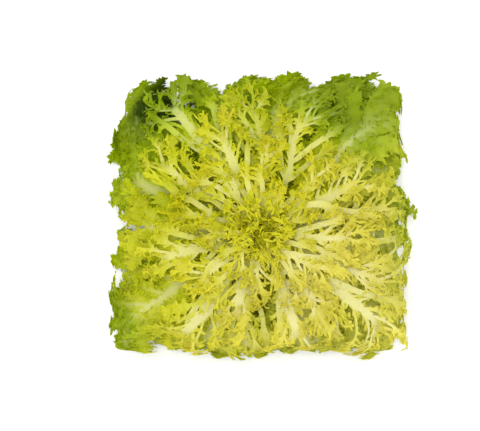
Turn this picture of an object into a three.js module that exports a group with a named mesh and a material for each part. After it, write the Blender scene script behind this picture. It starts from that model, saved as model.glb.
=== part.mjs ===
// Curly endive head (frisee): a rosette of finely cut leaves on a short stem, pressed nearly square.
// Millimetres, +Z up. The origin is the centre of the stem's cut face, on which the head rests.
// Each leaf is one solid: a fleshy rib with forked, toothed lobes, cut to the rib, that wave up and down.
// The leaves stand on nested surfaces, one level each, so that a leaf never crosses its neighbours.
import * as THREE from "three";

// ---- Driving dimensions ------------------------------------------------------------------------
const HEAD_REACH = { east: 107, west: 111, north: 122, south: 86 }; // from the stem's axis to each side
const OUTLINE_POWER = 6; // 2 is an ellipse, and a high power is a square
const LEAF_COUNTS = { outer: 12, middle: 18, heart: 20 };
const STEM = { cutRadius: 14, shoulderRadius: 15.5, shoulderHeight: 4.5, tipRadius: 2.5, tipHeight: 40 };
const ROOT_GAP = 1.7; // from the stem's cone to the middle of a leaf's root
const TOP_HEIGHT = 84; // of the innermost leaves
const LOWEST_ARCH = 32; // what the lowest leaves would climb to, if they didn't droop
const BLADE_THICKNESS = 0.8;
const LYING_HEIGHT = 0.7; // of the middle of a blade that lies on the ground
const SETTLING_HEIGHT = 4; // below it, a blade starts to bend level with the ground
const WIDEST_HALF = 0.75; // radians round the stem from a leaf's middle line to its widest lobe
const SEED = 350;

// ---- Numbers and draws -------------------------------------------------------------------------
const GOLDEN_ANGLE = Math.PI * (3 - Math.sqrt(5));
const YELLOW_SIDE = -Math.PI / 4; // the side to which the heart's leaves lean
const mix = (a, b, share) => a + (b - a) * share;
const clamp = (x, low, high) => Math.min(high, Math.max(low, x));

// A repeatable draw between 0 and 1.
function drawsFrom(seed) {
  let state = seed >>> 0;
  return () => {
    state = (state + 0x6d2b79f5) >>> 0;
    let x = Math.imul(state ^ (state >>> 15), state | 1);
    x ^= x + Math.imul(x ^ (x >>> 7), x | 61);
    return ((x ^ (x >>> 14)) >>> 0) / 4294967296;
  };
}

// ---- The nested surfaces that the leaves lie on ------------------------------------------------
// How far the head reaches in a direction: a rounded rectangle that isn't centred on the stem.
function outlineRadius(azimuth) {
  const c = Math.cos(azimuth);
  const s = Math.sin(azimuth);
  const alongX = Math.abs(c) / (c > 0 ? HEAD_REACH.east : HEAD_REACH.west);
  const alongY = Math.abs(s) / (s > 0 ? HEAD_REACH.north : HEAD_REACH.south);
  return (alongX ** OUTLINE_POWER + alongY ** OUTLINE_POWER) ** (-1 / OUTLINE_POWER);
}

// Level 0 is the lowest leaf and level 1 the innermost. A surface climbs from the stem, then droops.
function surfaceOf(level) {
  const rootHeight = mix(STEM.shoulderHeight + 1, STEM.tipHeight - 4, level);
  const coneShare = (rootHeight - STEM.shoulderHeight) / (STEM.tipHeight - STEM.shoulderHeight);
  const rootRadius = mix(STEM.shoulderRadius, STEM.tipRadius, coneShare) + ROOT_GAP;
  const plateau = LOWEST_ARCH + (TOP_HEIGHT + 14 - LOWEST_ARCH) * level - 14 * level ** 2;
  const below = Math.max(1 - level, 0);
  const bend = 1.8 + 33 * below ** 1.35;
  const droop = 38 * below ** 2;
  return { rootHeight, rootRadius, rise: plateau - rootHeight, bend, droop };
}

function heightOn(surface, radius, azimuth) {
  const climbed = 1 - Math.exp(-(radius - surface.rootRadius) / surface.bend);
  const share = Math.max(radius, 0) / outlineRadius(azimuth);
  const swell = swellAt(radius * Math.cos(azimuth), radius * Math.sin(azimuth));
  return surface.rootHeight + surface.rise * climbed - surface.droop * share ** 2.5 + swell;
}

function slopeOn(surface, radius, azimuth) {
  const step = 0.05;
  return (heightOn(surface, radius + step, azimuth) - heightOn(surface, radius, azimuth)) / step;
}

// Hills and hollows that every surface shares, and that fade away towards the stem.
function swellAt(x, y) {
  const broad = 4 * Math.sin(0.062 * x + 1.3) * Math.sin(0.057 * y + 0.6);
  const narrow = 2.2 * Math.sin(0.11 * x - 0.08 * y) * Math.sin(0.07 * x + 0.12 * y + 2);
  return (broad + narrow) * THREE.MathUtils.smoothstep(Math.hypot(x, y), 12, 60);
}

// ---- Where each leaf stands --------------------------------------------------------------------
function planLeaf(index, count) {
  const draw = drawsFrom(SEED + index);
  const level = index / (count - 1);
  const freedom = 1 - 0.7 * level; // the outer leaves bend about the most
  const towards = index * GOLDEN_ANGLE + freedom * mix(-0.08, 0.08, draw()); // where its tip points
  const surface = surfaceOf(level);
  const inner = clamp((level - 0.3) / 0.7, 0, 1);
  const lean = 0.14 * Math.sin(Math.PI * level) * Math.cos(towards - YELLOW_SIDE);
  const reachShare = 1 - 0.93 * inner ** 1.25 + lean + mix(-0.04, 0.02, draw());
  const reach = Math.max(outlineRadius(towards) * Math.min(reachShare, 1), surface.rootRadius + 3);
  const sway = freedom * mix(-0.4, 0.4, draw());
  const swayTurns = mix(0.5, 1.3, draw());
  const azimuth = towards - sway * Math.sin(Math.PI * swayTurns);
  const plan = { draw, level, towards, azimuth, surface, reach, sway, swayTurns };
  plan.radii = radiiAlong(plan);
  return plan;
}

// Radii at equal steps of length along a leaf's middle line, from its root to its reach.
const STEP = 1;
function radiiAlong({ surface, towards, reach }) {
  const radii = [surface.rootRadius];
  let radius = surface.rootRadius;
  while (radius < reach) {
    radius += STEP / Math.hypot(1, slopeOn(surface, radius, towards));
    radii.push(radius);
  }
  return radii;
}

// From a leaf's own flat coordinates to space: along and across the blade, and up from it.
function placeOnLeaf(plan, along, across, up) {
  const last = plan.radii.length - 1;
  const at = clamp(along / STEP, 0, last);
  const low = Math.min(Math.floor(at), last - 1);
  const past = Math.max(along / STEP - last, 0) * STEP;
  const radius = mix(plan.radii[low], plan.radii[low + 1], at - low) + past;
  const length = last * STEP;
  const sway = plan.sway * Math.sin((along / length) * Math.PI * plan.swayTurns);
  const azimuth = plan.azimuth + sway + WIDEST_HALF * Math.tanh(across / Math.max(radius, 4) / WIDEST_HALF);
  const pressed = pressInside(radius, outlineRadius(azimuth));
  const slope = slopeOn(plan.surface, pressed, azimuth);
  const steepness = Math.hypot(1, slope);
  const lifted = Math.max(pressed - (up * slope) / steepness, 0.3 * pressed);
  const settled = settleOnGround(heightOn(plan.surface, pressed, azimuth) + up / steepness);
  return new THREE.Vector3(lifted * Math.cos(azimuth), lifted * Math.sin(azimuth), settled);
}

// Leaves that would sink into the ground lie down on it instead.
function settleOnGround(height) {
  const room = SETTLING_HEIGHT - LYING_HEIGHT;
  const sunk = (height - SETTLING_HEIGHT) / room;
  return sunk > 0 ? height : LYING_HEIGHT + room * Math.exp(sunk);
}

// Tips that would pass the outline are pressed back towards it.
function pressInside(radius, limit) {
  const free = 0.93 * limit;
  const room = 0.09 * limit;
  return radius < free ? radius : free + room * Math.tanh((radius - free) / room);
}

// ---- A sheet of triangles, closed into a solid of a stated thickness at each corner -------------
class Sheet {
  constructor() {
    this.points = [];
    this.halves = [];
    this.triangles = [];
  }
  corner(point, thickness) {
    this.points.push(point);
    this.halves.push(thickness / 2);
    return this.points.length - 1;
  }
  triangle(a, b, c) {
    this.triangles.push([a, b, c]);
  }
  quad(a, b, c, d) {
    this.triangle(a, b, c);
    this.triangle(a, c, d);
  }
  normals() {
    const normals = this.points.map(() => new THREE.Vector3());
    for (const [a, b, c] of this.triangles) {
      const side = this.points[b].clone().sub(this.points[a]);
      const other = this.points[c].clone().sub(this.points[a]);
      const normal = side.cross(other).normalize();
      for (const corner of [a, b, c]) normals[corner].add(normal);
    }
    return normals.map((normal) => normal.normalize());
  }
  geometry() {
    const count = this.points.length;
    const normals = this.normals();
    const face = (side) =>
      this.points.map((point, i) => point.clone().addScaledVector(normals[i], side * this.halves[i]));
    const edgesOf = ([a, b, c]) => [[a, b], [b, c], [c, a]];
    const edges = new Set(this.triangles.flatMap(edgesOf).map(String));
    const index = [];
    for (const [a, b, c] of this.triangles) {
      index.push(a, b, c, a + count, c + count, b + count);
      for (const [from, to] of edgesOf([a, b, c])) {
        if (edges.has(String([to, from]))) continue;
        index.push(from, from + count, to + count, from, to + count, to);
      }
    }
    const geometry = new THREE.BufferGeometry().setFromPoints([...face(1), ...face(-1)]);
    geometry.setIndex(index);
    geometry.computeVertexNormals();
    return geometry;
  }
}

// ---- One leaf ----------------------------------------------------------------------------------
// kind holds: ribWidth and ribThickness at the root, the number of lobes a side, the longest lobe as a
// share of the leaf, where the lobes start, and how much of a lobe's root joins the rib as blade.
const KINDS = {
  outer: { ribWidth: 9, ribThickness: 2.4, lobes: 7, lobeShare: 0.27, bareShare: 0.2, web: 0.45 },
  middle: { ribWidth: 8, ribThickness: 2.2, lobes: 7, lobeShare: 0.27, bareShare: 0.26, web: 0.36 },
  heart: { ribWidth: 5, ribThickness: 1.5, lobes: 5, lobeShare: 0.26, bareShare: 0.36, web: 0.32 },
};
const WAVE = 0.28; // of the room to the next leaf, how far a lobe's tips rise or dip
const NEXT_LEVEL = 5; // the golden angle brings a leaf beside the fifth after it
const CLOSING_LEVEL = 0.97; // above it, lobes close over the middle of the heart

function roomAbove(plan, along, levelStep) {
  const radius = plan.radii[clamp(Math.round(along / STEP), 0, plan.radii.length - 1)];
  const above = surfaceOf(Math.min(plan.level + NEXT_LEVEL * levelStep, 1.1));
  const gap = heightOn(above, radius, plan.azimuth) - heightOn(plan.surface, radius, plan.azimuth);
  return gap / Math.hypot(1, slopeOn(plan.surface, radius, plan.azimuth));
}

function buildLeaf(plan, kind, levelStep) {
  const { draw } = plan;
  const sheet = new Sheet();
  const length = (plan.radii.length - 1) * STEP;
  const put = (along, across, up, thickness) =>
    sheet.corner(placeOnLeaf(plan, along, across, up), thickness);
  const rootHalf = Math.min(kind.ribWidth / 2, 0.3 * plan.surface.rootRadius);
  const ribHalf = (share) => rootHalf * (1 - 0.75 * share ** 0.8);
  const ribThickness = (share) => mix(kind.ribThickness, BLADE_THICKNESS, share ** 0.7);

  const shares = [0, kind.bareShare / 2];
  for (let i = 0; i <= kind.lobes; i++) shares.push(mix(kind.bareShare, 0.9, i / kind.lobes));
  const rib = shares.map((share) => ({
    share,
    left: put(share * length, ribHalf(share), 0, ribThickness(share)),
    right: put(share * length, -ribHalf(share), 0, ribThickness(share)),
  }));
  for (let i = 1; i < rib.length; i++) {
    sheet.quad(rib[i - 1].left, rib[i - 1].right, rib[i].right, rib[i].left);
  }

  // A lobe: a web from the rib narrows to a neck, then forks into a long prong and a short one.
  function addLobe(backCorner, frontCorner, share, across, angle, side, lobeLength, rise, dip) {
    const at = (reach, turn, up, thickness) =>
      put(
        share * length + Math.cos(angle + turn) * reach * lobeLength,
        across + side * Math.sin(angle + turn) * reach * lobeLength,
        up,
        thickness,
      );
    const neckBack = at(kind.web, 0.2, 0.4 * rise, BLADE_THICKNESS);
    const neckFront = at(kind.web, -0.2, 0.5 * rise, BLADE_THICKNESS);
    const notch = at(0.68, 0, 0.3 * rise, BLADE_THICKNESS);
    const longTip = at(1, -0.12, rise, BLADE_THICKNESS);
    const shortTip = at(0.84, 0.3, dip, BLADE_THICKNESS);
    const corners = [[backCorner, neckBack, neckFront], [backCorner, neckFront, frontCorner]];
    corners.push([neckBack, notch, neckFront], [neckBack, shortTip, notch], [notch, longTip, neckFront]);
    for (const [a, b, c] of corners) side > 0 ? sheet.triangle(a, c, b) : sheet.triangle(a, b, c);
  }

  for (let i = 2; i < rib.length - 1; i++) {
    const share = (rib[i].share + rib[i + 1].share) / 2;
    const lobed = (share - kind.bareShare) / (0.9 - kind.bareShare);
    const swell = Math.sin(Math.PI * mix(0.12, 0.64, lobed));
    const room = WAVE * Math.min(roomAbove(plan, share * length, levelStep), 11);
    for (const side of [1, -1]) {
      const lobeLength = kind.lobeShare * length * swell * mix(0.85, 1.1, draw());
      const angle = mix(1.12, 0.72, share) + mix(-0.08, 0.08, draw());
      const wave = room * (((i + (side > 0 ? 1 : 0)) % 2) * 2 - 1) * mix(0.7, 1, draw());
      const closes = plan.level > CLOSING_LEVEL;
      const rise = closes ? mix(2, 3, draw()) : wave;
      const dip = (closes ? 0.6 : -0.7) * rise;
      const [back, front] = side > 0 ? [rib[i].left, rib[i + 1].left] : [rib[i].right, rib[i + 1].right];
      addLobe(back, front, share, side * ribHalf(share), angle, side, lobeLength, rise, dip);
    }
  }
  // The end lobe, which the rib runs into.
  const end = rib[rib.length - 1];
  const tipWidth = 0.07 * length;
  const notch = put(0.95 * length, 0, 0.5, BLADE_THICKNESS);
  const leftTip = put(length, tipWidth, 1, BLADE_THICKNESS);
  const rightTip = put(0.985 * length, -tipWidth, -0.6, BLADE_THICKNESS);
  sheet.triangle(end.left, end.right, notch);
  sheet.triangle(end.left, notch, leftTip);
  sheet.triangle(notch, end.right, rightTip);
  return sheet.geometry();
}

// ---- The stem ----------------------------------------------------------------------------------
function buildStem() {
  const { cutRadius, shoulderRadius, shoulderHeight, tipRadius, tipHeight } = STEM;
  const profile = [
    [0, 0],
    [cutRadius, 0],
    [cutRadius + 1, 1.2],
    [shoulderRadius, shoulderHeight],
    [tipRadius, tipHeight],
    [0, tipHeight + 1],
  ];
  const points = profile.map(([r, z]) => new THREE.Vector2(r, z));
  return new THREE.LatheGeometry(points, 20).rotateX(Math.PI / 2);
}

// ---- The head ----------------------------------------------------------------------------------
const LOOKS = {
  stem: { color: 0xe6e2b4, roughness: 0.6, metalness: 0 },
  outer: { color: 0x8fae1e, roughness: 0.55, metalness: 0 },
  middle: { color: 0xb9c43a, roughness: 0.55, metalness: 0 },
  heart: { color: 0xdcd64c, roughness: 0.55, metalness: 0 },
};

function buildHead() {
  const head = new THREE.Group();
  const add = (name, geometry, look) => {
    const mesh = new THREE.Mesh(geometry, new THREE.MeshStandardMaterial(look));
    mesh.name = name;
    head.add(mesh);
  };
  add("stem", buildStem(), LOOKS.stem);
  const count = LEAF_COUNTS.outer + LEAF_COUNTS.middle + LEAF_COUNTS.heart;
  let index = 0;
  for (const [kindName, kindCount] of Object.entries(LEAF_COUNTS)) {
    for (let number = 1; number <= kindCount; number++, index++) {
      const name = kindName + "_leaf_" + String(number).padStart(2, "0");
      const plan = planLeaf(index, count);
      add(name, buildLeaf(plan, KINDS[kindName], 1 / (count - 1)), LOOKS[kindName]);
    }
  }
  return head;
}

export default buildHead();
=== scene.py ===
import math

import bpy
import numpy as np
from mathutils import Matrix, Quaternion, Vector


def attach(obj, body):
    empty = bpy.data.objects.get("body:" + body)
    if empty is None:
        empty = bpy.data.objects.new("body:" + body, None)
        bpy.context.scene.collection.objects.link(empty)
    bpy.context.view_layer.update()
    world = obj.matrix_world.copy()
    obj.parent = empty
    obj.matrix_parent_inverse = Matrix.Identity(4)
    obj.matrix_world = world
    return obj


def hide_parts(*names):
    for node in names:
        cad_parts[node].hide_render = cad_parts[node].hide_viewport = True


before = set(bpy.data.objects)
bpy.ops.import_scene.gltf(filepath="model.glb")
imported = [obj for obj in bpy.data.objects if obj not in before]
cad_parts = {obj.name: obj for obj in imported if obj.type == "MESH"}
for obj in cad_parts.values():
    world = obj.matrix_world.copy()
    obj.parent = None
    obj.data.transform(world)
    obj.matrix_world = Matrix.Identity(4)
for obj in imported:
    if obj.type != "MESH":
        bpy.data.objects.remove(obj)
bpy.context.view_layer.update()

MM = 0.001

# ---- The head's plan, in millimetres: the same rule that places the CAD leaves -------------------
HEAD_REACH = {"east": 107, "west": 111, "north": 122, "south": 86}  # from the stem's axis to each side
OUTLINE_POWER = 6  # 2 is an ellipse, and a high power is a square
LEAF_COUNTS = {"outer": 12, "middle": 18, "heart": 20}
CUT_RADIUS = 14
SHOULDER_RADIUS = 15.5
SHOULDER_HEIGHT = 4.5
TIP_RADIUS = 2.5
TIP_HEIGHT = 40
ROOT_GAP = 1.7  # from the stem's cone to the middle of a leaf's root
ROOT_HEIGHTS = (SHOULDER_HEIGHT + 1, TIP_HEIGHT - 4)  # of the lowest and of the innermost leaf
TOP_HEIGHT = 84  # of the innermost leaves
LOWEST_ARCH = 32  # what the lowest leaves would climb to, if they didn't droop
CREST = 14  # the middle leaves climb a quarter of it above a line from the lowest to the innermost
INNERMOST_BEND = 1.8  # the distance in which the innermost leaf climbs most of its rise
LOWEST_BEND = 33  # is added to it for the lowest leaf
DROOP = 38  # of the lowest leaf at the outline
BROAD_SWELL = 4
NARROW_SWELL = 2.2
LYING_HEIGHT = 0.7  # of the middle of a blade that lies on the ground
SETTLING_HEIGHT = 4  # below it, a blade starts to bend level with the ground
WIDEST_HALF = 0.75  # radians round the stem from a leaf's middle line, which no lobe passes
SEED = 350
GOLDEN_ANGLE = math.pi * (3 - math.sqrt(5))
YELLOW_SIDE = -math.pi / 4  # the side kept from the light, towards which the middle leaves reach further
LEAN = 0.14  # of the outline's radius, by which a leaf halfway up the spiral does so
HEART_SHORTENED = 0.93  # of the outline's radius, by which the innermost leaf is shorter
UNEVEN_AZIMUTH = (-0.08, 0.08)
UNEVEN_REACH = (-0.04, 0.02)
SWAY = (-0.4, 0.4)
SWAY_TURNS = (0.5, 1.3)

# The frizz may fill a squarer outline than the CAD leaves. What would pass a limit is pressed back. The
# pairs are shares of a limit: the frizz is free up to the first, and comes at most the second further.
PRESSED_POWER = 16
PRESSED_ALONG = (0.88, 0.14)
PRESSED_LIFTED = (0.87, 0.18)
PRESSED_TOP = (0.9, 0.1)
CEILING = 88
TURNED_UP = (0.6, -0.6)  # what is pressed back turns up on the lowest leaves, and down on those above


def mix(a, b, share):
    return a + (b - a) * share


def smoothstep(x, low, high):
    t = np.clip((x - low) / (high - low), 0, 1)
    return t * t * (3 - 2 * t)


def bell(x, middle, width):
    return np.exp(-(((x - middle) / width) ** 2))


def draws_from(seed):
    """The repeatable draws that the CAD source uses."""
    state = seed & 0xFFFFFFFF

    def draw():
        nonlocal state
        state = (state + 0x6D2B79F5) & 0xFFFFFFFF
        x = ((state ^ (state >> 15)) * (state | 1)) & 0xFFFFFFFF
        x ^= (x + ((x ^ (x >> 7)) * (x | 61) & 0xFFFFFFFF)) & 0xFFFFFFFF
        return ((x ^ (x >> 14)) & 0xFFFFFFFF) / 4294967296

    return draw


def outline_radius(azimuth, power=OUTLINE_POWER):
    """How far the head reaches in a direction: a rounded rectangle that isn't centred on the stem."""
    c, s = np.cos(azimuth), np.sin(azimuth)
    along_x = np.abs(c) / np.where(c > 0, HEAD_REACH["east"], HEAD_REACH["west"])
    along_y = np.abs(s) / np.where(s > 0, HEAD_REACH["north"], HEAD_REACH["south"])
    return (along_x**power + along_y**power) ** (-1 / power)


def swell_at(x, y):
    """Hills and hollows that all the surfaces share, and that fade away towards the stem."""
    broad = BROAD_SWELL * np.sin(0.062 * x + 1.3) * np.sin(0.057 * y + 0.6)
    narrow = NARROW_SWELL * np.sin(0.11 * x - 0.08 * y) * np.sin(0.07 * x + 0.12 * y + 2)
    return (broad + narrow) * smoothstep(np.hypot(x, y), 12, 60)


class Surface:
    """One of the nested surfaces that the leaves lie on: level 0 is the lowest and 1 the innermost."""

    def __init__(self, level):
        self.root_height = mix(*ROOT_HEIGHTS, level)
        cone = (self.root_height - SHOULDER_HEIGHT) / (TIP_HEIGHT - SHOULDER_HEIGHT)
        self.root_radius = mix(SHOULDER_RADIUS, TIP_RADIUS, cone) + ROOT_GAP
        plateau = LOWEST_ARCH + (TOP_HEIGHT + CREST - LOWEST_ARCH) * level - CREST * level**2
        below = max(1 - level, 0)
        self.rise = plateau - self.root_height
        self.bend = INNERMOST_BEND + LOWEST_BEND * below**1.35
        self.droop = DROOP * below**2

    def height(self, radius, azimuth):
        climbed = 1 - np.exp(-(radius - self.root_radius) / self.bend)
        share = np.maximum(radius, 0) / outline_radius(azimuth)
        x, y = radius * np.cos(azimuth), radius * np.sin(azimuth)
        return self.root_height + self.rise * climbed - self.droop * share**2.5 + swell_at(x, y)

    def slope(self, radius, azimuth):
        step = 0.05
        return (self.height(radius + step, azimuth) - self.height(radius, azimuth)) / step


def press(value, limit, free_share, room_share):
    """Press what would pass the limit back towards it."""
    free, room = free_share * limit, room_share * limit
    return np.where(value < free, value, free + room * np.tanh((value - free) / room))


def settle_on_ground(height):
    """What would sink into the ground lies down on it instead."""
    room = SETTLING_HEIGHT - LYING_HEIGHT
    sunk = (height - SETTLING_HEIGHT) / room
    return np.where(sunk > 0, height, LYING_HEIGHT + room * np.exp(np.minimum(sunk, 0)))


class Plan:
    """Where one leaf stands, and how far it reaches."""

    def __init__(self, index, count):
        draw = draws_from(SEED + index)
        self.index = index
        self.level = index / (count - 1)
        freedom = 1 - 0.7 * self.level  # the outer leaves stray and sway the most
        towards = index * GOLDEN_ANGLE + freedom * mix(*UNEVEN_AZIMUTH, draw())  # where its tip points
        self.surface = Surface(self.level)
        inner = min(max((self.level - 0.3) / 0.7, 0), 1)
        lean = LEAN * math.sin(math.pi * self.level) * math.cos(towards - YELLOW_SIDE)
        reach_share = 1 - HEART_SHORTENED * inner**1.25 + lean + mix(*UNEVEN_REACH, draw())
        reach = float(outline_radius(towards)) * min(reach_share, 1)
        reach = max(reach, self.surface.root_radius + 3)
        self.sway = freedom * mix(*SWAY, draw())
        self.sway_turns = mix(*SWAY_TURNS, draw())
        self.azimuth = towards - self.sway * math.sin(math.pi * self.sway_turns)
        # The radii at steps of 1 mm along the leaf's middle line.
        radii = [self.surface.root_radius]
        while radii[-1] < reach:
            slope = float(self.surface.slope(radii[-1], towards))
            radii.append(radii[-1] + 1 / math.hypot(1, slope))
        self.radii = np.array(radii)
        self.length = len(radii) - 1

    def place(self, flat):
        """From along, across and up on the leaf to x, y and z."""
        along, across, up = flat.T
        last = self.length
        beyond = np.maximum(along - last, 0) + np.minimum(along, 0)
        radius = np.interp(along, np.arange(last + 1), self.radii) + beyond
        sway = self.sway * np.sin(np.maximum(along, 0) / last * math.pi * self.sway_turns)
        turn = WIDEST_HALF * np.tanh(across / np.maximum(radius, 4) / WIDEST_HALF)
        azimuth = self.azimuth + sway + turn
        limit = outline_radius(azimuth, PRESSED_POWER)
        pressed = press(radius, limit, *PRESSED_ALONG)
        slope = self.surface.slope(pressed, azimuth)
        steepness = np.hypot(1, slope)
        lifted = np.maximum(pressed - up * slope / steepness, -0.4 * pressed)
        turned_up = (radius - pressed) * mix(*TURNED_UP, smoothstep(self.level, 0.08, 0.45))
        height = settle_on_ground(self.surface.height(pressed, azimuth) + up / steepness + turned_up)
        uneven = 1 + 0.03 * np.sin(7 * azimuth + 1) + 0.025 * np.sin(23 * azimuth + 0.09 * height)
        lifted = press(lifted, limit * uneven, *PRESSED_LIFTED)
        # Over the stem's tip the innermost leaves stay flat across, and so don't shrink to a point.
        flatly = (1 - smoothstep(radius, 12, 30)) * smoothstep(self.level, 0.7, 0.85)
        middle = self.azimuth + sway
        x = mix(lifted * np.cos(azimuth), lifted * np.cos(middle) - across * np.sin(middle), flatly)
        y = mix(lifted * np.sin(azimuth), lifted * np.sin(middle) + across * np.cos(middle), flatly)
        return np.stack([x, y, press(height, CEILING, *PRESSED_TOP)], axis=1)


# ---- Strips that branch, in a leaf's flat frame --------------------------------------------------
UP = Vector((0, 0, 1))
ALONG = Vector((1, 0, 0))

# What each depth of branching looks like, in millimetres and radians: 0 is a lobe on the midrib, 1 its
# branches and 2 their branchlets, which bear nothing.
# - step is the length between two rows of corners, and point the width of a narrow strip's tip.
# - stalk and blade are the widths before and after bare, the share of a strip before its blade.
# - yaw, curl and twist are how freely a strip turns as it grows: sideways, up or down, and about itself.
# - lift is how far it turns upwards on average.
# - wave is the height of its ruffles.
# - branch is the chance of a branch on a side of each row, and stray the same before the blade.
# - child and angle are the length of such a branch and how far it points away.
# - fork and prong are the angle and the length of the forks where a wide strip ends.
THREADS = {
    "step": (2.3, 1.9, 1.6), "stalk": (1.7, 0.9, 0.7), "blade": (1.6, 1.3, 1.0), "point": 0.12,
    "bare": (0.4, 0.15, 0.0), "yaw": (0.4, 0.8, 0.8), "lift": (0.0, 0.15, 0.1),
    "curl": (0.55, 1.0, 0.9), "twist": (0.5, 1.0, 0.8), "wave": (0.0, 0.0, 0.0),
    "branch": (0.62, 0.5, 0.0), "stray": (0.1, 0.2, 0.0), "child": ((5.0, 12.0), (2.2, 5.0)),
    "angle": ((0.35, 0.85), (0.4, 0.95)), "fork": 0.9, "prong": (4.0, 8.0),
    "blade_thick": 0.4, "vein_thick": 1.1,
}
BLADES = {
    **THREADS, "stalk": (2.0, 1.0, 0.7), "blade": (3.4, 2.2, 1.0), "bare": (0.3, 0.1, 0.0),
    "branch": (0.7, 0.55, 0.0), "child": ((3.5, 8.0), (1.6, 3.4)), "wave": (0.5, 0.3, 0.0),
    "curl": (0.45, 0.7, 0.6), "twist": (0.5, 0.8, 0.6),
}
BROAD = {
    "step": (2.4, 2.0, 1.6), "stalk": (6.5, 2.4, 1.2), "blade": (10.5, 3.0, 1.1), "point": 0.25,
    "bare": (0.12, 0.1, 0.0), "yaw": (0.3, 0.5, 0.4), "lift": (0.1, 0.1, 0.0),
    "curl": (0.5, 0.6, 0.4), "twist": (0.4, 0.5, 0.3), "wave": (2.0, 0.4, 0.0),
    "branch": (0.85, 0.5, 0.0), "stray": (0.3, 0.3, 0.0), "child": ((2.0, 5.0), (1.0, 2.2)),
    "angle": ((0.5, 1.0), (0.5, 1.0)), "fork": 0.9, "prong": (3.0, 6.0),
    "blade_thick": 0.45, "vein_thick": 1.0,
}
LEAFY = {
    **BROAD, "stalk": (4.6, 2.2, 1.1), "blade": (5.6, 2.4, 1.1), "branch": (0.95, 0.7, 0.0),
    "child": ((3.0, 8.0), (1.2, 3.0)), "angle": ((0.4, 1.0), (0.5, 1.0)),
    "wave": (1.7, 0.5, 0.0), "curl": (0.6, 1.0, 0.6),
}
TUFTS = {**THREADS, "curl": (0.5, 0.6, 0.8), "branch": (0.6, 0.7, 0.0)}
ARMS = {
    **THREADS, "stalk": (4.0, 1.5, 0.8), "blade": (2.4, 1.6, 1.0), "bare": (0.6, 0.25, 0.0),
    "child": ((6.0, 13.0), (2.5, 6.0)), "curl": (0.3, 0.9, 0.9), "stray": (0.03, 0.15, 0.0),
    "yaw": (0.5, 0.8, 0.8),
}
FORK_DEPTH = 2


class Sheet:
    """Rows of corners in the leaf's flat frame, with the faces between them."""

    def __init__(self):
        self.flat, self.thick, self.pale, self.tip, self.faces = [], [], [], [], []

    def corner(self, point, thick, pale, tip):
        self.flat.append(tuple(point))
        self.thick.append(thick)
        self.pale.append(pale)
        self.tip.append(tip)
        return len(self.flat) - 1

    def join(self, row, following):
        for c in range(len(row) - 1):
            self.faces.append((row[c], row[c + 1], following[c + 1], following[c]))

    def middle(self, row):
        total = Vector((0, 0, 0))
        for i in row:
            total += Vector(self.flat[i])
        return total / len(row)

    def width(self, row):
        return (Vector(self.flat[row[0]]) - Vector(self.flat[row[-1]])).length


def turned(vector, axis, angle):
    return Quaternion(axis, angle) @ vector


def pale_at(pale, s, bare):
    """How pale a strip still is at the share s of its length."""
    return pale * (1 - 0.9 * smoothstep(s, 0.6 * bare, bare + 0.35))


def grow(sheet, rng, base, heading, normal, length, form, pale, tip_from, depth):
    """Grow a strip from a base row of corners, then its side branches, and fork its end if it is wide."""
    strip = grow_strip(sheet, rng, base, heading, normal, length, form, pale, tip_from, depth)
    grow_branches(sheet, rng, strip, length, form, pale, tip_from, depth)
    columns = len(base) - 1
    if columns > 1:
        row, heading, normal = strip[-1]
        for c in range(columns):
            spread = (1 - 2 * (c + 0.5) / columns) * form["fork"]
            prong = rng.uniform(*form["prong"])
            grow(sheet, rng, row[c:c + 2], turned(heading, normal, spread), normal, prong, form,
                 0.1 * pale, 0.9, FORK_DEPTH)


def grow_strip(sheet, rng, base, heading, normal, length, form, pale, tip_from, depth):
    """Grow one strip. What comes back is its rows of corners, each with its heading and its normal."""
    rows = max(int(round(length / form["step"][depth])), 1)
    step = length / rows
    columns = len(base) - 1
    start_width = sheet.width(base)
    stalk, blade, bare, wave = (form[key][depth] for key in ("stalk", "blade", "bare", "wave"))
    yaw_total = rng.normal(0, form["yaw"][depth])
    pitch_total = rng.normal(form["lift"][depth], form["curl"][depth])
    roll_total = rng.normal(0, form["twist"][depth])
    wave_phase = rng.uniform(0, 2 * math.pi)
    position = sheet.middle(base)
    strip = [(base, heading, normal)]
    for i in range(1, rows + 1):
        s = i / rows
        side = normal.cross(heading).normalized()
        bend = 0.4 + 1.2 * s  # bends more towards its end
        heading = turned(heading, normal, yaw_total * bend / rows)
        heading = turned(heading, side, -pitch_total * bend / rows)
        normal = turned(normal, side, -pitch_total * bend / rows)
        normal = turned(normal, heading, roll_total * bend / rows)
        heading.normalize()
        side = normal.cross(heading).normalized()
        position = position + heading * step
        width = mix(stalk, blade, smoothstep(s, bare, bare + 0.3))
        width = mix(start_width, width, min(s * length / (1.2 * start_width + 0.5), 1))
        if columns == 1 and i == rows:
            width = form["point"]
        row_pale = pale_at(pale, s, bare)
        row_tip = mix(tip_from, 1, s)
        row = []
        for c in range(columns + 1):
            t = 1 - 2 * c / columns
            phase = wave_phase + s * length * 0.55 + (1.7 if t > 0 else 0)
            ruffle = wave * abs(t) * math.sin(phase) * min(s * 2, 1)
            point = position + side * (t * width / 2) + normal * ruffle
            edge_pale = row_pale * (1 - 0.8 * abs(t)) if columns > 1 else row_pale * 0.75
            thick = mix(form["blade_thick"], form["vein_thick"], row_pale * (1 - abs(t)))
            row.append(sheet.corner(point, thick, edge_pale, row_tip))
        sheet.join(strip[-1][0], row)
        strip.append((row, heading, normal))
    return strip


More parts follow.
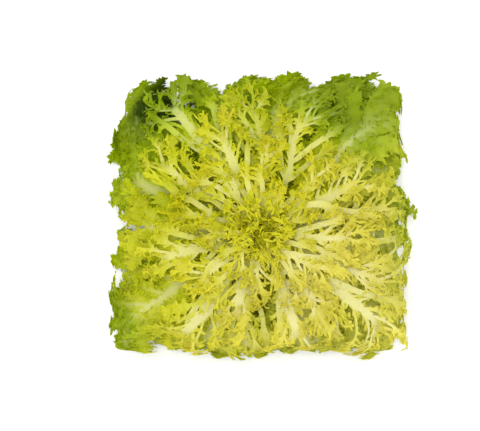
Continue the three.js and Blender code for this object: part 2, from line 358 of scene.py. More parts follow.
def grow_branches(sheet, rng, strip, length, form, pale, tip_from, depth):
    """Grow the branches on both sides of a strip."""
    rows = len(strip) - 1
    bare = form["bare"][depth]
    for i in range(1, rows):
        s = (i + 0.5) / rows
        on_blade = s > bare
        row = strip[i][0]
        following, heading, normal = strip[i + 1]
        for left in (True, False):
            if rng.uniform() > (form["branch"] if on_blade else form["stray"])[depth]:
                continue
            edge = [row[0], following[0]] if left else [following[-1], row[-1]]
            angle = (1 if left else -1) * rng.uniform(*form["angle"][depth])
            grown = rng.uniform(*form["child"][depth]) * (1 if on_blade else 0.5)
            # The longest branches stand a little before the middle of the strip.
            grown = min(grown * (0.6 + 0.4 * math.sin(math.pi * min(s + 0.1, 1))), 0.8 * length)
            grow(sheet, rng, edge, turned(heading, normal, angle), normal, grown, form,
                 pale_at(pale, s, bare) * 0.8, mix(tip_from, 1, s), depth + 1)


# ---- Leaves --------------------------------------------------------------------------------------
# The numbers are the leaves' places in the spiral, from 0 for the lowest.
BROAD_LEAVES = (3, 16)  # flat, wide lobes, where the light was strong
LEAFY_LEAVES = (0, 1, 2, *range(4, 13), 17)
RIDGED_LEAVES = (4, 5, 7, 9, 10, 12, 17)  # leafy, yet with a rib that stands clear of its lobes
CORNER_LEAVES = (1, 5, 12)  # their ends run on into a corner of the outline
CLOSED_LEAVES = (12, 16, 17, 21, 26, 32, 38)
# An open leaf has few lobes, which hang below its raised rib, so that the rib shows.
OPEN_LEAVES = tuple(i for i in range(12, 42) if i not in CLOSED_LEAVES)
# The ribs of these open leaves have been pushed up through the frizz around them.
LONG_RIBS = (13, 14, 15, 18, 20, 22, 23, 25, 27, 28, 31, 33, 34, 36)

RIBS = {
    "outer": {"width": 9, "thick": 2.4, "bare": 0.16, "lobe_share": 0.36},
    "middle": {"width": 9.5, "thick": 2.2, "bare": 0.26, "lobe_share": 0.27},
    "heart": {"width": 5.5, "thick": 1.6, "bare": 0.36, "lobe_share": 0.26},
}
RIB_CORNERS = 5  # across
RIB_STATION = 2.4  # the length between two rows of corners
RIB_GIRTH = (0.65, 1.2)
RAISED_GIRTH = 1.2
RIB_TAPER = 0.82
TAPER_POWER = (0.9, 1.4)  # of a rib that lies among its lobes, of one that stands clear
RIB_EDGE_THICK = 0.5
RIB_END = (0.86, 0.93)  # the share of the leaf's length where the rib forks
RIB_RAISED = 6
RIDGE_RAISED = 7
LONG_RIB_RAISED = (17, 8)  # on a low leaf, on a high one
OPENNESS_OPEN = (0.8, 1)
OPENNESS_OUTER = 0.3  # and on the broad leaves
OPENNESS_CLOSED = (0, 0.4)
RIB_BARE_OPEN = 0.6
RIB_BARE_LONG = 0.7
LOBES_FROM = 0.7  # of the rib's bare part, where the first lobes stand
CHANNEL_DEPTH = 0.3  # of the rib's thickness, along its middle
CHANNEL_RIDGES = 0.12  # of the rib's thickness, on both sides of the channel
WANDER = 0.02  # of the leaf's length

# The lobes' lengths follow a part of an arch, and the inner leaves have more of its far side.
ARCH_FROM = 0.14
ARCH_TO = (0.56, 0.7)
LOBES_END = 0.9  # of the leaf's length
LOBE_SIZES = (0.5, 1.0, 1.4)
LOBE_SIZE_CHANCES = (0.3, 0.4, 0.3)
OUTER_LOBE_SIZE = (0.95, 1.3)
# The share of blades among the lobes of a leaf that is neither broad nor leafy. The rest are threads.
BLADE_SHARE = {"middle": 0.45, "heart": 0.35}
VEINED_SHARE = 0.55  # of the lobes, whose vein is nearly as pale as the rib
VEIN_PALE = {"broad": 0.45, "veined": 0.95, "plain": 0.3}
LOBE_LIFT = (0.25, -0.3)  # on a closed leaf, on an open one
LOBE_ANGLE = 0.75
INNER_LOBE_ANGLE = 0.4  # towards the tips of the inner leaves
UNEVEN_LOBE_ANGLE = (-0.15, 0.3)
SHORTEST_LOBE = (4, 14)  # on most leaves, on the innermost
SHORTEST_END_LOBE = (8, 13)
RIDGED_LIFT = -0.4
CLOSING_LIFT = 1.5
ARM_SHARE = (0.34, 0.5)  # of the leaf's length
ARM_ANGLE = (0.22, 0.6)
ARM_LIFT = -0.05
ARM_GAP = 6  # rib stations from an arm to the next lobe
TUFT_SHARE = 0.85  # of the free places among the lobes
BASAL_SHARE = 0.6  # of those on the bare part of the lowest leaf's rib
TUFT_ANGLE = (0.5, 1.3)
TUFT_LENGTH = (4, 9)
TUFT_LIFT = -0.2
OPEN_TUFT_DROP = 0.5
CLOSING_TUFT_LIFT = 1.4
# The two lobes at a rib's end: their share of the leaf's length, and how far the left one turns out.
END_LOBES = {"plain": (0.17, 0.55), "broad": (0.24, 0.55), "leafy": (0.24, 0.75), "corner": (0.27, 0.38)}
CORNER_YAW = 0.1
CORNER_CURL = 0.12


def with_first(form, **firsts):
    """The form with other values for its lobes, and the same for all that branches from them."""
    return {**form, **{key: (first,) + form[key][1:] for key, first in firsts.items()}}


class Leaf:
    """The character of one leaf, and the sheet that grows from it."""

    def __init__(self, plan, kind):
        self.plan = plan
        self.kind = kind
        self.sheet = Sheet()
        self.rib = RIBS[kind]
        self.broad = plan.index in BROAD_LEAVES
        self.leafy = plan.index in LEAFY_LEAVES
        self.ridged = plan.index in RIDGED_LEAVES
        self.opened = plan.index in OPEN_LEAVES
        self.long_rib = plan.index in LONG_RIBS
        self.form = BROAD if self.broad else LEAFY if self.leafy else THREADS
        self.base_edges = 3 if self.broad else 2 if self.leafy else 1  # of the rib, that a lobe grows from
        self.inwards = min(plan.level * 2, 1)
        self.closing = smoothstep(plan.level, 0.82, 0.94)  # the innermost leaves curl in over the heart
        self.rng = rng = np.random.default_rng(SEED * 7 + plan.index)
        self.girth = rng.uniform(*RIB_GIRTH) * (RAISED_GIRTH if self.ridged or self.long_rib else 1)
        if self.opened:
            self.openness = rng.uniform(*OPENNESS_OPEN)
        elif self.broad or kind == "outer":
            self.openness = OPENNESS_OUTER
        else:
            self.openness = rng.uniform(*OPENNESS_CLOSED)
        if self.long_rib:
            self.bare = RIB_BARE_LONG
        elif self.opened:
            self.bare = RIB_BARE_OPEN
        else:
            self.bare = mix(self.rib["bare"], 0.5, self.openness)
        self.wander = WANDER * plan.length * rng.normal()
        self.wander_turns = rng.uniform(0.6, 1.6)
        self.wander_phase = rng.uniform(0, 6.3)
        self.end_share = rng.uniform(*RIB_END)
        self.stations = max(int(round(self.end_share * plan.length / RIB_STATION)), 6)
        self.rows = []

    def grow_rib(self):
        # The first row lies inside the stem, and bears nothing.
        before = self.rib_row(-1)
        for i in range(self.stations + 1):
            row = self.rib_row(i)
            self.sheet.join(before, row)
            self.rows.append(row)
            before = row

    def rib_row(self, i):
        plan, rib = self.plan, self.rib
        share = self.end_share * i / self.stations
        grown = max(share, 0)
        half = self.girth * rib["width"] / 2
        half = half * (1 - RIB_TAPER * grown ** mix(*TAPER_POWER, self.opened or self.ridged))
        half = min(half, 0.3 * (plan.surface.root_radius + 0.3 * grown * plan.length))
        thick = mix(rib["thick"], RIB_EDGE_THICK, grown**0.7)
        pale = 1 - 0.9 * smoothstep(grown, 0.75 if self.ridged or self.long_rib else 0.6, 0.98)
        pale *= 1 - 0.25 * smoothstep(plan.level, 0.5, 0.75)
        wander = math.sin(2 * math.pi * self.wander_turns * grown + self.wander_phase)
        centre = self.wander * wander * min(grown * 3, 1)
        raised = self.rib_raised() * (smoothstep(grown, 0.2, 0.5) * (1 - smoothstep(grown, 0.8, 1)))
        row = []
        for c in range(RIB_CORNERS):
            t = 1 - 2 * c / (RIB_CORNERS - 1)
            channel = -CHANNEL_DEPTH * thick * (1 - abs(t)) + CHANNEL_RIDGES * thick * (abs(t) == 0.5)
            here = mix(RIB_EDGE_THICK, thick, 1 - t * t)
            point = (share * plan.length, centre + t * half, channel + raised)
            row.append(self.sheet.corner(point, here, pale * (1 - 0.15 * abs(t)), 0.0))
        return row

    def rib_raised(self):
        """How far the middle of the rib stands above the leaf's surface."""
        if self.long_rib:
            return mix(*LONG_RIB_RAISED, smoothstep(self.plan.level, 0.28, 0.6))
        return RIDGE_RAISED if self.ridged else self.openness * RIB_RAISED

    def grow_side(self, left):
        """The lobes on one side of the rib, and then the tufts at the stations that they leave free."""
        armed_lobes = 1 if self.long_rib else int(self.rng.integers(1, 3))
        lobes_grown = 0
        i = 2 if left else 3
        free = list(range(1, i))
        while i + self.base_edges <= self.stations:
            share = self.end_share * (i + self.base_edges / 2) / self.stations
            if share < self.bare * LOBES_FROM:
                free.append(i)
                i += 1
                continue
            armed = self.opened and lobes_grown < armed_lobes
            self.grow_lobe(i, share, left, armed)
            lobes_grown += 1
            if self.base_edges > 1:
                gap = self.base_edges
            elif armed:
                gap = ARM_GAP
            else:
                gap = int(self.rng.integers(2, 4)) + self.opened
            free += range(i + self.base_edges, min(i + gap, self.stations))
            i += gap
        for i in free:
            self.grow_tuft(i, left)

    def grow_from(self, edge, angle, length, form, pale, tip_from, depth):
        grow(self.sheet, self.rng, edge, turned(ALONG, UP, angle), UP, length, form, pale, tip_from, depth)

    def edge(self, i, left, edges):
        """The corners on a side of the rib from station i, in the order that a strip grows from them."""
        corners = [self.rows[i + k][0 if left else -1] for k in range(edges + 1)]
        return corners if left else corners[::-1]

    def grow_lobe(self, i, share, left, armed):
        rng, length = self.rng, self.plan.length
        lobed = min(max((share - self.rib["bare"]) / (LOBES_END - self.rib["bare"]), 0), 1)
        swell = math.sin(math.pi * mix(ARCH_FROM, mix(*ARCH_TO, self.inwards), lobed))
        if self.kind == "outer":
            size = rng.uniform(*OUTER_LOBE_SIZE)
        else:
            size = rng.choice(LOBE_SIZES, p=LOBE_SIZE_CHANCES)
        lobe_share = RIBS["outer" if self.ridged else self.kind]["lobe_share"]
        lobe_length = lobe_share * length * swell * size * rng.uniform(0.85, 1.1)
        tip_angle = mix(LOBE_ANGLE, INNER_LOBE_ANGLE, self.inwards)
        angle = mix(LOBE_ANGLE, tip_angle, share) + rng.uniform(*UNEVEN_LOBE_ANGLE)
        form = self.form
        if form is THREADS and rng.uniform() < BLADE_SHARE[self.kind]:
            form = BLADES
        lift = RIDGED_LIFT if self.ridged else mix(*LOBE_LIFT, self.openness)
        lift = lift + form["lift"][0] + CLOSING_LIFT * self.closing
        if self.broad:
            vein = VEIN_PALE["broad"]
        else:
            vein = VEIN_PALE["veined" if rng.uniform() < VEINED_SHARE else "plain"]
        if armed:
            # A long side branch of the rib, as pale as the rib.
            form, lift, vein = ARMS, ARM_LIFT, 1.0
            lobe_length = rng.uniform(*ARM_SHARE) * length
            angle = rng.uniform(*ARM_ANGLE)
        lobe_length = max(lobe_length, mix(*SHORTEST_LOBE, self.closing))
        self.grow_from(self.edge(i, left, self.base_edges), angle if left else -angle, lobe_length,
                       with_first(form, lift=lift), vein, 0.1, 0)

    def grow_tuft(self, i, left):
        """A short tuft, if the draw gives one here."""
        rng, openness, closing = self.rng, self.openness, self.closing
        share = self.end_share * (i + 0.5) / self.stations
        basal_share = BASAL_SHARE * (1 - self.plan.level) * (1 - 0.8 * self.opened)
        basal_share = max(basal_share, 0.95 * closing)
        if rng.uniform() > (basal_share if share < self.bare * LOBES_FROM else TUFT_SHARE):
            return
        angle = rng.uniform(*TUFT_ANGLE) * (1 if left else -1)
        grown = rng.uniform(*TUFT_LENGTH) * min(1, self.plan.length / 60 + 0.2)
        lift = TUFT_LIFT - OPEN_TUFT_DROP * openness + CLOSING_TUFT_LIFT * closing
        tuft = {**TUFTS, "lift": (0.0, lift, 0.1)}
        self.grow_from(self.edge(i, left, 1), angle, grown, tuft, 0.25, 0.2, 1)

    def grow_end(self):
        """The end of the rib forks into two lobes."""
        cornered = self.plan.index in CORNER_LEAVES
        lobes = "corner" if cornered else "broad" if self.broad else "leafy" if self.leafy else "plain"
        share, wide = END_LOBES[lobes]
        form = with_first(self.form, lift=self.form["lift"][0] + CLOSING_LIFT * self.closing)
        if cornered:
            form = with_first(form, yaw=CORNER_YAW, curl=CORNER_CURL)
        lobe_length = max(share * self.plan.length, mix(*SHORTEST_END_LOBE, self.closing))
        for c, spread in ((0, wide), (2, 0.1 - wide)):
            self.grow_from(self.rows[-1][c:c + 3], spread, lobe_length, form, 0.2, 0.3, 0)


def leaf_sheet(plan, kind):
    leaf = Leaf(plan, kind)
    leaf.grow_rib()
    for left in (True, False):
        leaf.grow_side(left)
    leaf.grow_end()
    return leaf.sheet


# ---- Where light and shade colour the leaves -----------------------------------------------------
HEAD_CENTRE = (-2.0, 17.5)  # near the middle of the outline
LIT_SIDE = 98  # degrees round the head's centre
BLANCHED_SPREAD = 70  # degrees to each side of YELLOW_SIDE
BLANCHED_SHARE = 0.2  # by which that side is paler
GREEN_GROWN = 28  # the distance in which a green zone comes up to its strength
GREEN_FADING = (44, 56)  # the distances from its start between which it fades to what is left
# Where the light has greened the leaves: azimuth round the head's centre, spread, start radius, strength
# and the share of it that is left at the far end. A strength above 1 reaches into the darkest green,
# which is partly the lowest leaves' deep green and partly painted shade.
GREEN_ZONES = (
    (52, 28, 62, 1.0, 1),
    (92, 26, 80, 0.7, 1),
    (131, 20, 80, 1.7, 0.45),
    (152, 34, 78, 0.5, 1),
    (5, 30, 88, 0.45, 1),
    (215, 18, 104, 0.7, 1),
)


def round_centre(points):
    """Azimuth in degrees and radius round the head's centre."""
    x, y = points[:, 0] - HEAD_CENTRE[0], points[:, 1] - HEAD_CENTRE[1]
    return np.degrees(np.arctan2(y, x)), np.hypot(x, y)


def degrees_off(azimuth, middle):
    return (azimuth - middle + 180) % 360 - 180


def green_at(points, plan):
    """How far the light has greened each point: 0 is yellow, 1 is green and 1.5 the darkest green, which
    is partly the lowest leaves' deep green and partly painted shade.
    """
    azimuth, radius = round_centre(points)
    green = np.zeros(len(points))
    for middle, spread, start, strength, far_share in GREEN_ZONES:
        faded = smoothstep(radius, start + GREEN_FADING[0], start + GREEN_FADING[1])
        grown = smoothstep(radius, start, start + GREEN_GROWN) * mix(1, far_share, faded)
        green = np.maximum(green, strength * bell(degrees_off(azimuth, middle), 0, spread) * grown)
    green = green * (1 - 0.85 * smoothstep(plan.level, 0.5, 0.8))
    # Only the lowest leaves go on past 1, into the darkest green, which is partly painted shade.
    green = np.minimum(green, mix(1.5, 0.95, smoothstep(plan.level, 0.08, 0.3)))
    low = 1 - smoothstep(plan.level, 0.12, 0.55)
    lit = 0.12 + 0.55 * (0.5 + 0.5 * np.cos(np.radians(azimuth - LIT_SIDE))) ** 2
    return np.maximum(green, lit * low * smoothstep(radius, 20, 90))


def blanched_at(points):
    """How far into the side that was kept from the light each point is, from 0 to 1."""
    azimuth, radius = round_centre(points)
    off = degrees_off(azimuth, math.degrees(YELLOW_SIDE))
    return bell(off, 0, BLANCHED_SPREAD) * smoothstep(radius, 25, 70)


# Its value sets how much painted shade a leaf's colour gets deep in the head.
def shade_depth_at(points, plan):
    """How far below the topmost leaf here this leaf lies, from 0 to 1."""
    x, y = points[:, 0], points[:, 1]
    inward = 1 - np.clip(np.hypot(x, y) / outline_radius(np.arctan2(y, x)), 0.07, 1)
    topmost = 0.3 + 0.7 * (inward / 0.93) ** 0.8
    return np.clip(topmost - plan.level, 0, 1)


# ---- Meshes --------------------------------------------------------------------------------------
SHARP_ANGLE = math.radians(60)


def set_attributes(mesh, **attributes):
    for label, values in attributes.items():
        attribute = mesh.attributes.new(label, "FLOAT", "POINT")
        attribute.data.foreach_set("value", np.array(values, dtype=np.float32))


def thickened(sheet, points):
    """A closed body: a sheet on either side of the points, and a rim round their edge."""
    faces = np.array(sheet.faces)
    a, b, c, d = (points[faces[:, k]] for k in range(4))
    face_normals = np.cross(c - a, d - b)
    normals = np.zeros_like(points)
    for k in range(4):
        np.add.at(normals, faces[:, k], face_normals)
    normals /= np.maximum(np.linalg.norm(normals, axis=1, keepdims=True), 1e-9)
    half = normals * np.array(sheet.thick)[:, None] / 2
    count = len(points)
    edges = dict.fromkeys((face[k], face[(k + 1) % 4]) for face in sheet.faces for k in range(4))
    rim = np.array([(u, v) for (u, v) in edges if (v, u) not in edges])
    rim_faces = np.stack([rim[:, 1], rim[:, 0], rim[:, 0] + count, rim[:, 1] + count], axis=1)
    vertices = np.concatenate([points + half, points - half])
    return vertices, np.concatenate([faces, faces[:, ::-1] + count, rim_faces])


def leaf_mesh(name, plan, kind):
    sheet = leaf_sheet(plan, kind)
    points = plan.place(np.array(sheet.flat))
    vertices, faces = thickened(sheet, points)
    mesh = bpy.data.meshes.new(name)
    mesh.vertices.add(len(vertices))
    mesh.vertices.foreach_set("co", (vertices * MM).astype(np.float32).ravel())
    mesh.loops.add(faces.size)
    mesh.loops.foreach_set("vertex_index", faces.astype(np.int32).ravel())
    mesh.polygons.add(len(faces))
    mesh.polygons.foreach_set("loop_start", np.arange(0, faces.size, 4, dtype=np.int32))
    mesh.polygons.foreach_set("use_smooth", np.ones(len(faces), dtype=bool))
    mesh.update(calc_edges=True)
    blanched = blanched_at(points)
    pale = np.clip(np.array(sheet.pale) + BLANCHED_SHARE * blanched, 0, 1)
    colouring = {
        "pale": pale,
        "tip": sheet.tip,
        "green": green_at(points, plan),
        "deep": shade_depth_at(points, plan),
        "warm": blanched,
    }
    set_attributes(mesh, **{label: np.tile(values, 2) for label, values in colouring.items()})
    mesh.set_sharp_from_angle(angle=SHARP_ANGLE)
    mesh.validate()
    return mesh


STEM_AROUND = 120
STEM_UP = 60
CUT_RINGS = 22
CUT_EDGE = 0.98  # of the cut face's radius, from where it lies on the ground
STRAND_RING = 0.62  # of the cut face's radius, where the leaves' strands come down
BARK_RING = 0.97
STRAND_RISE = 0.45  # up into the stem
CUT_HOLLOW = 0.25
CUT_BEVEL = (1.2, 1)  # up and out
RIDGE_SIZE = (3.4, 2.2)  # across and up, at a leaf's root
RIDGE_HEIGHT = 1.1
SCAR_SIZE = (4.5, 0.7)
SCAR_BELOW = 2.4  # a leaf's root
SCAR_DEPTH = 0.5


def cut_rows(turns):
    """Rings of the cut face: radius, height, and how browned, how cut and how scarred each is."""
    for i in range(1, CUT_RINGS + 1):
        share = i / CUT_RINGS
        browned = bell(share, STRAND_RING, 0.09) + 0.55 * bell(share, BARK_RING, 0.06)
        rise = STRAND_RISE * bell(share, STRAND_RING, 0.12) + CUT_HOLLOW * (1 - share**2)
        wobble = 0.12 * np.sin(5 * turns + 9 * share) * np.sin(3 * turns + 1)
        height = np.maximum(rise + wobble, 0) * (share < CUT_EDGE)
        yield CUT_RADIUS * share * np.ones(STEM_AROUND), height, browned, 1.0, np.zeros(STEM_AROUND)


def cone_rows(turns, plans):
    """Rings of the cone, with a ridge at each leaf's root and a scar below it."""
    bevel_up, bevel_out = CUT_BEVEL
    heights = (0, bevel_up, SHOULDER_HEIGHT, TIP_HEIGHT)
    radii = (CUT_RADIUS, CUT_RADIUS + bevel_out, SHOULDER_RADIUS, TIP_RADIUS)
    for i in range(1, STEM_UP + 1):
        share = i / STEM_UP
        z = TIP_HEIGHT * share
        ridge, scar = np.zeros(STEM_AROUND), np.zeros(STEM_AROUND)
        for plan in plans:
            off = (turns - plan.azimuth + math.pi) % (2 * math.pi) - math.pi
            across = off * plan.surface.root_radius
            above = z - plan.surface.root_height
            ridge = np.maximum(ridge, bell(across, 0, RIDGE_SIZE[0]) * bell(above, 0, RIDGE_SIZE[1]))
            scar = np.maximum(scar, bell(across, 0, SCAR_SIZE[0]) * bell(above, -SCAR_BELOW, SCAR_SIZE[1]))
        grain = 0.15 * np.sin(17 * turns + 0.6 * z) + 0.1 * np.sin(29 * turns - 0.4 * z)
        radius = np.interp(z, heights, radii) + RIDGE_HEIGHT * ridge - SCAR_DEPTH * scar
        radius = radius + grain * min(share * 8, 1) * (1 - share)
        yield radius, z * np.ones(STEM_AROUND), 0.0, 1 - smoothstep(z, 0.3, 1.6), scar


def stem_mesh(name, plans):
    """The stem, from the middle of its cut face out to the rim and then up to its tip."""
    turns = np.arange(STEM_AROUND) * 2 * math.pi / STEM_AROUND
    rows = [*cut_rows(turns), *cone_rows(turns, plans)]
    points, ring, cut, scar = [(0, 0, 0.3)], [0.0], [1.0], [0.0]
    for radius, height, browned_here, cut_here, scar_here in rows:
        points += list(zip(radius * np.cos(turns), radius * np.sin(turns), height))
        ring += [browned_here] * STEM_AROUND
        cut += [cut_here] * STEM_AROUND
        scar += list(scar_here)
    points.append((0, 0, TIP_HEIGHT + 1))
    for values in (ring, cut, scar):
        values.append(0.0)
    faces = []
    top = 1 + (len(rows) - 1) * STEM_AROUND
    for k in range(STEM_AROUND):
        following = (k + 1) % STEM_AROUND
        faces.append((0, 1 + following, 1 + k))
        faces.append((len(points) - 1, top + k, top + following))
        for low in range(1, top, STEM_AROUND):
            high = low + STEM_AROUND
            faces.append((low + k, low + following, high + following, high + k))
    mesh = bpy.data.meshes.new(name)
    mesh.from_pydata([(x * MM, y * MM, z * MM) for x, y, z in points], [], faces)
    set_attributes(mesh, ring=ring, cut=cut, scar=scar)
    mesh.polygons.foreach_set("use_smooth", np.ones(len(mesh.polygons), dtype=bool))
    return mesh


# ---- Materials -----------------------------------------------------------------------------------
class Nodes:
    """A material and the nodes that are added to it. An input is fed with a value or a socket."""

    def __init__(self, name):
        self.material = bpy.data.materials.new(name)
        self.material.use_nodes = True
        self.tree = self.material.node_tree
        self.tree.nodes.clear()

    def add(self, kind, settings=None, **inputs):
        node = self.tree.nodes.new(kind)
        for key, value in (settings or {}).items():
            setattr(node, key, value)
        for key, value in inputs.items():
            self.feed(node.inputs[key.replace("_", " ")], value)
        return node

    def feed(self, socket, value):
        if isinstance(value, bpy.types.NodeSocket):
            self.tree.links.new(value, socket)
        else:
            socket.default_value = value

    def attribute(self, name):
        return self.add("ShaderNodeAttribute", {"attribute_name": name}).outputs["Fac"]

    def math(self, operation, a, b, clamp=False):
        node = self.add("ShaderNodeMath", {"operation": operation, "use_clamp": clamp})
        self.feed(node.inputs[0], a)
        self.feed(node.inputs[1], b)
        return node.outputs[0]

    def times(self, a, b, clamp=False):
        return self.math("MULTIPLY", a, b, clamp)

    def minus(self, a, b):
        return self.math("SUBTRACT", a, b)

    def flecked(self, value, fleck, strength):
        """The value, made uneven by a fleck that raises it here and lowers it there."""
        return self.math("ADD", value, self.times(self.minus(fleck, 0.5), strength), clamp=True)

    def blend(self, share, a, b, mode="MIX"):
        node = self.add("ShaderNodeMix", {"data_type": "RGBA", "blend_type": mode})
        self.feed(node.inputs[0], share)
        self.feed(node.inputs[6], a)
        self.feed(node.inputs[7], b)
        return node.outputs[2]

    def noise(self, scale, detail=3.0, roughness=0.5):
        coordinates = self.add("ShaderNodeTexCoord").outputs["Object"]
        return self.add("ShaderNodeTexNoise", Scale=scale, Detail=detail, Roughness=roughness,
                        Vector=coordinates).outputs["Fac"]


def srgb(red, green, blue):
    def linear(value):
        value /= 255
        return value / 12.92 if value <= 0.04045 else ((value + 0.055) / 1.055) ** 2.4
    return (linear(red), linear(green), linear(blue), 1.0)


# A pair of colours is what a patchy or flecked surface varies between.
UNLIT = {
    "outer": (srgb(220, 222, 30), srgb(236, 236, 88)),
    "middle": (srgb(229, 226, 16), srgb(244, 239, 82)),
    "heart": (srgb(228, 223, 8), srgb(241, 236, 60)),
}
BLANCHED = srgb(254, 238, 92)
FRESH_GREEN = (srgb(180, 201, 0), srgb(208, 219, 16))
FULL_GREEN = (srgb(142, 169, 0), srgb(178, 197, 8))
# The darkest green of blade and rib is partly the lowest leaves' deep green and partly painted shade.
DARKEST_GREEN_AND_SHADE = srgb(34, 72, 0)
RIB_UNLIT = srgb(247, 243, 192)
RIB_LIT = srgb(230, 238, 172)
RIB_DARKEST_AND_SHADE = srgb(128, 158, 60)
TEETH = srgb(186, 196, 20)
DEEP_SHADE_TINT = (0.94, 1.0, 0.2, 1)  # painted shade: the tint of the light that reaches the blades deep in the head, multiplied into their colour
WARM_SHARE = 0.4
TEETH_SHARE = 0.15
PATCH_SCALE = 38.0  # per metre
FLECK_SCALE = 260.0
COARSE_RELIEF_SCALE = 220.0
FINE_RELIEF_SCALE = 900.0
STEM_PATCH_SCALE = 90.0
STEM_FLECK_SCALE = 420.0
THROUGH_SHARE = 0.57  # of a leaf's light comes through it
FLESH = (srgb(226, 222, 168), srgb(240, 238, 204))
LEAF_SCAR = (srgb(176, 150, 92), srgb(206, 184, 124))
BROWNED = (srgb(150, 104, 56), srgb(196, 156, 98))
PITH = (srgb(214, 196, 144), srgb(234, 222, 180))


def leaf_material(kind):
    """Yellow blade, greener where the light reached it, with pale ribs, and painted shade deep in the
    head.
    """
    n = Nodes(kind + "_leaf")
    patch = n.noise(PATCH_SCALE)
    fleck = n.noise(FLECK_SCALE, detail=4.0, roughness=0.6)
    green = n.attribute("green")
    warm = n.attribute("warm")
    # Past 1, green darkens towards the darkest green: partly the lowest leaves' deep green, partly painted
    # shade.
    darkest = n.times(n.minus(green, 1.0), 2.0, clamp=True)
    flecked_green = n.flecked(green, fleck, 0.25)
    blade = n.blend(patch, *UNLIT[kind])
    blade = n.blend(n.times(warm, WARM_SHARE), blade, BLANCHED)
    blade = n.blend(n.times(flecked_green, 2.0, clamp=True), blade, n.blend(patch, *FRESH_GREEN))
    full = n.times(n.minus(flecked_green, 0.5), 2.0, clamp=True)
    blade = n.blend(full, blade, n.blend(patch, *FULL_GREEN))
    blade = n.blend(darkest, blade, DARKEST_GREEN_AND_SHADE)
    rib = n.blend(n.math("MINIMUM", green, 1.0), RIB_UNLIT, RIB_LIT)
    rib = n.blend(darkest, rib, RIB_DARKEST_AND_SHADE)
    pale = n.flecked(n.attribute("pale"), fleck, 0.3)
    colour = n.blend(pale, blade, rib)
    colour = n.blend(n.times(n.attribute("tip"), TEETH_SHARE), colour, TEETH)
    # Painted shade: deep in the head the colour is multiplied by the tint of the light there, less on
    # ribs, and less on the side that was kept from the light.
    deep = n.times(n.attribute("deep"), 3.0, clamp=True)
    painted_shade = n.times(deep, n.minus(1.0, n.times(pale, 0.6)))
    painted_shade = n.times(painted_shade, n.minus(1.0, n.times(warm, 0.6)))
    colour = n.blend(painted_shade, colour, DEEP_SHADE_TINT, "MULTIPLY")
    coarse = n.times(n.noise(COARSE_RELIEF_SCALE, detail=2.0), 1.5)
    relief = n.math("ADD", n.noise(FINE_RELIEF_SCALE, detail=2.0), coarse)
    bump = n.add("ShaderNodeBump", Strength=0.45, Distance=0.001, Height=relief).outputs["Normal"]
    roughness = n.math("ADD", 0.42, n.times(fleck, 0.2))
    surface = n.add("ShaderNodeBsdfPrincipled", Base_Color=colour, Roughness=roughness, Normal=bump,
                    Specular_IOR_Level=0.2)
    through = n.add("ShaderNodeBsdfTranslucent", Color=colour, Normal=bump)
    both = n.add("ShaderNodeMixShader", Fac=THROUGH_SHARE)
    n.feed(both.inputs[1], surface.outputs[0])
    n.feed(both.inputs[2], through.outputs[0])
    n.add("ShaderNodeOutputMaterial", Surface=both.outputs[0])
    return n.material


def stem_material():
    """Cream flesh with leaf scars, ringed and browned where it was cut."""
    n = Nodes("stem")
    fleck = n.noise(STEM_FLECK_SCALE, detail=4.0, roughness=0.65)
    patch = n.noise(STEM_PATCH_SCALE, detail=2.0)
    browned = n.flecked(n.attribute("ring"), fleck, 0.8)
    cut = n.blend(browned, n.blend(fleck, *PITH), n.blend(fleck, *BROWNED))
    side = n.blend(n.attribute("scar"), n.blend(patch, *FLESH), n.blend(patch, *LEAF_SCAR))
    colour = n.blend(n.attribute("cut"), side, cut)
    bump = n.add("ShaderNodeBump", Strength=0.5, Distance=0.0006, Height=fleck).outputs["Normal"]
    roughness = n.math("ADD", 0.5, n.times(fleck, 0.25))
    surface = n.add("ShaderNodeBsdfPrincipled", Base_Color=colour, Roughness=roughness, Normal=bump)
    n.add("ShaderNodeOutputMaterial", Surface=surface.outputs[0])
    return n.material


def plain_material(name, colour, roughness):
    n = Nodes(name)
    surface = n.add("ShaderNodeBsdfPrincipled", Base_Color=colour, Roughness=roughness)
    n.add("ShaderNodeOutputMaterial", Surface=surface.outputs[0])
    return n.material


# ---- The head ------------------------------------------------------------------------------------
def piece(name, mesh, material):
    mesh.materials.append(material)
    ob = bpy.data.objects.new(name, mesh)
    bpy.context.scene.collection.objects.link(ob)
    return ob


LEAF_MATERIALS = {kind: leaf_material(kind) for kind in LEAF_COUNTS}
LEAVES = [(kind, number) for kind, count in LEAF_COUNTS.items() for number in range(1, count + 1)]
PLANS = [Plan(index, len(LEAVES)) for index in range(len(LEAVES))]

stem = piece("stem_flesh", stem_mesh("stem_flesh", PLANS), stem_material())
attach(stem, "root")
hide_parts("stem")

for plan, (kind, number) in zip(PLANS, LEAVES):
    node = f"{kind}_leaf_{number:02d}"
    leaf = piece(node + "_frizz", leaf_mesh(node + "_frizz", plan, kind), LEAF_MATERIALS[kind])
    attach(leaf, "root")
    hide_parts(node)

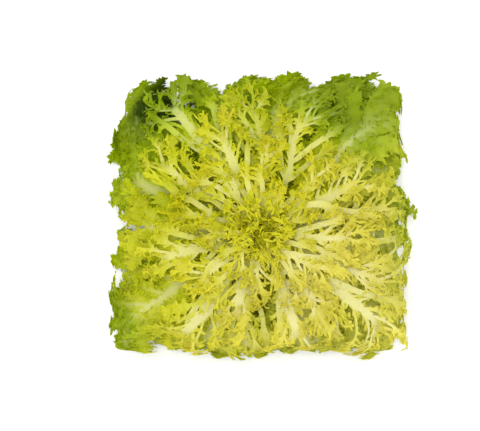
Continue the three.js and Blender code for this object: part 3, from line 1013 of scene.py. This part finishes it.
# ---- Floor, sky, lights and camera, in metres ----------------------------------------------------
FLOOR_HALF = 1.5
FLOOR_CORNERS = [(-FLOOR_HALF, -FLOOR_HALF, 0), (FLOOR_HALF, -FLOOR_HALF, 0),
                 (FLOOR_HALF, FLOOR_HALF, 0), (-FLOOR_HALF, FLOOR_HALF, 0)]
FLOOR_COLOUR = (0.92, 0.92, 0.91, 1)
SKY_STRENGTH = 0.9
LIT_POINT = Vector((0, 0, 0.04))
CAMERA_ELEVATION = math.radians(82)
CAMERA_DISTANCE = 0.95
SENSOR_WIDTH = 36  # millimetres
PIXELS_WIDE = 480
MM_PER_PIXEL = 0.735
AIM_OFFSET = (-13.5, -4)  # millimetres from the head's centre, which isn't the middle of the picture
AIM_HEIGHT = 0.042

floor_mesh = bpy.data.meshes.new("floor")
floor_mesh.from_pydata(FLOOR_CORNERS, [], [(0, 1, 2, 3)])
floor = piece("floor", floor_mesh, plain_material("floor", FLOOR_COLOUR, roughness=0.7))

world = bpy.data.worlds.new("studio")
world.use_nodes = True
sky = world.node_tree.nodes["Background"]
sky.inputs["Color"].default_value = (1, 1, 1, 1)
sky.inputs["Strength"].default_value = SKY_STRENGTH
bpy.context.scene.world = world


def put(ob, place, towards):
    """Put a light or a camera at a place, looking in a direction."""
    ob.location = place
    ob.rotation_euler = towards.to_track_quat("-Z", "Y").to_euler()
    bpy.context.scene.collection.objects.link(ob)


def area_light(name, place, size, power):
    light = bpy.data.lights.new(name, "AREA")
    light.shape = "DISK"
    light.size = size
    light.energy = power
    put(bpy.data.objects.new(name, light), place, LIT_POINT - Vector(place))


area_light("key", place=(-0.12, -0.12, 1.25), size=0.5, power=9.6)
area_light("fill", place=(0.8, 0.5, 0.8), size=0.9, power=2)

aim = Vector(((HEAD_CENTRE[0] + AIM_OFFSET[0]) * MM, (HEAD_CENTRE[1] + AIM_OFFSET[1]) * MM, AIM_HEIGHT))
away = Vector((0, -math.cos(CAMERA_ELEVATION), math.sin(CAMERA_ELEVATION)))
camera_data = bpy.data.cameras.new("camera")
camera_data.sensor_width = SENSOR_WIDTH
camera_data.lens = SENSOR_WIDTH * CAMERA_DISTANCE / (PIXELS_WIDE * MM_PER_PIXEL * MM)
camera = bpy.data.objects.new("camera", camera_data)
put(camera, aim + away * CAMERA_DISTANCE, -away)
bpy.context.scene.camera = camera
bpy.context.scene.view_settings.view_transform = "Standard"
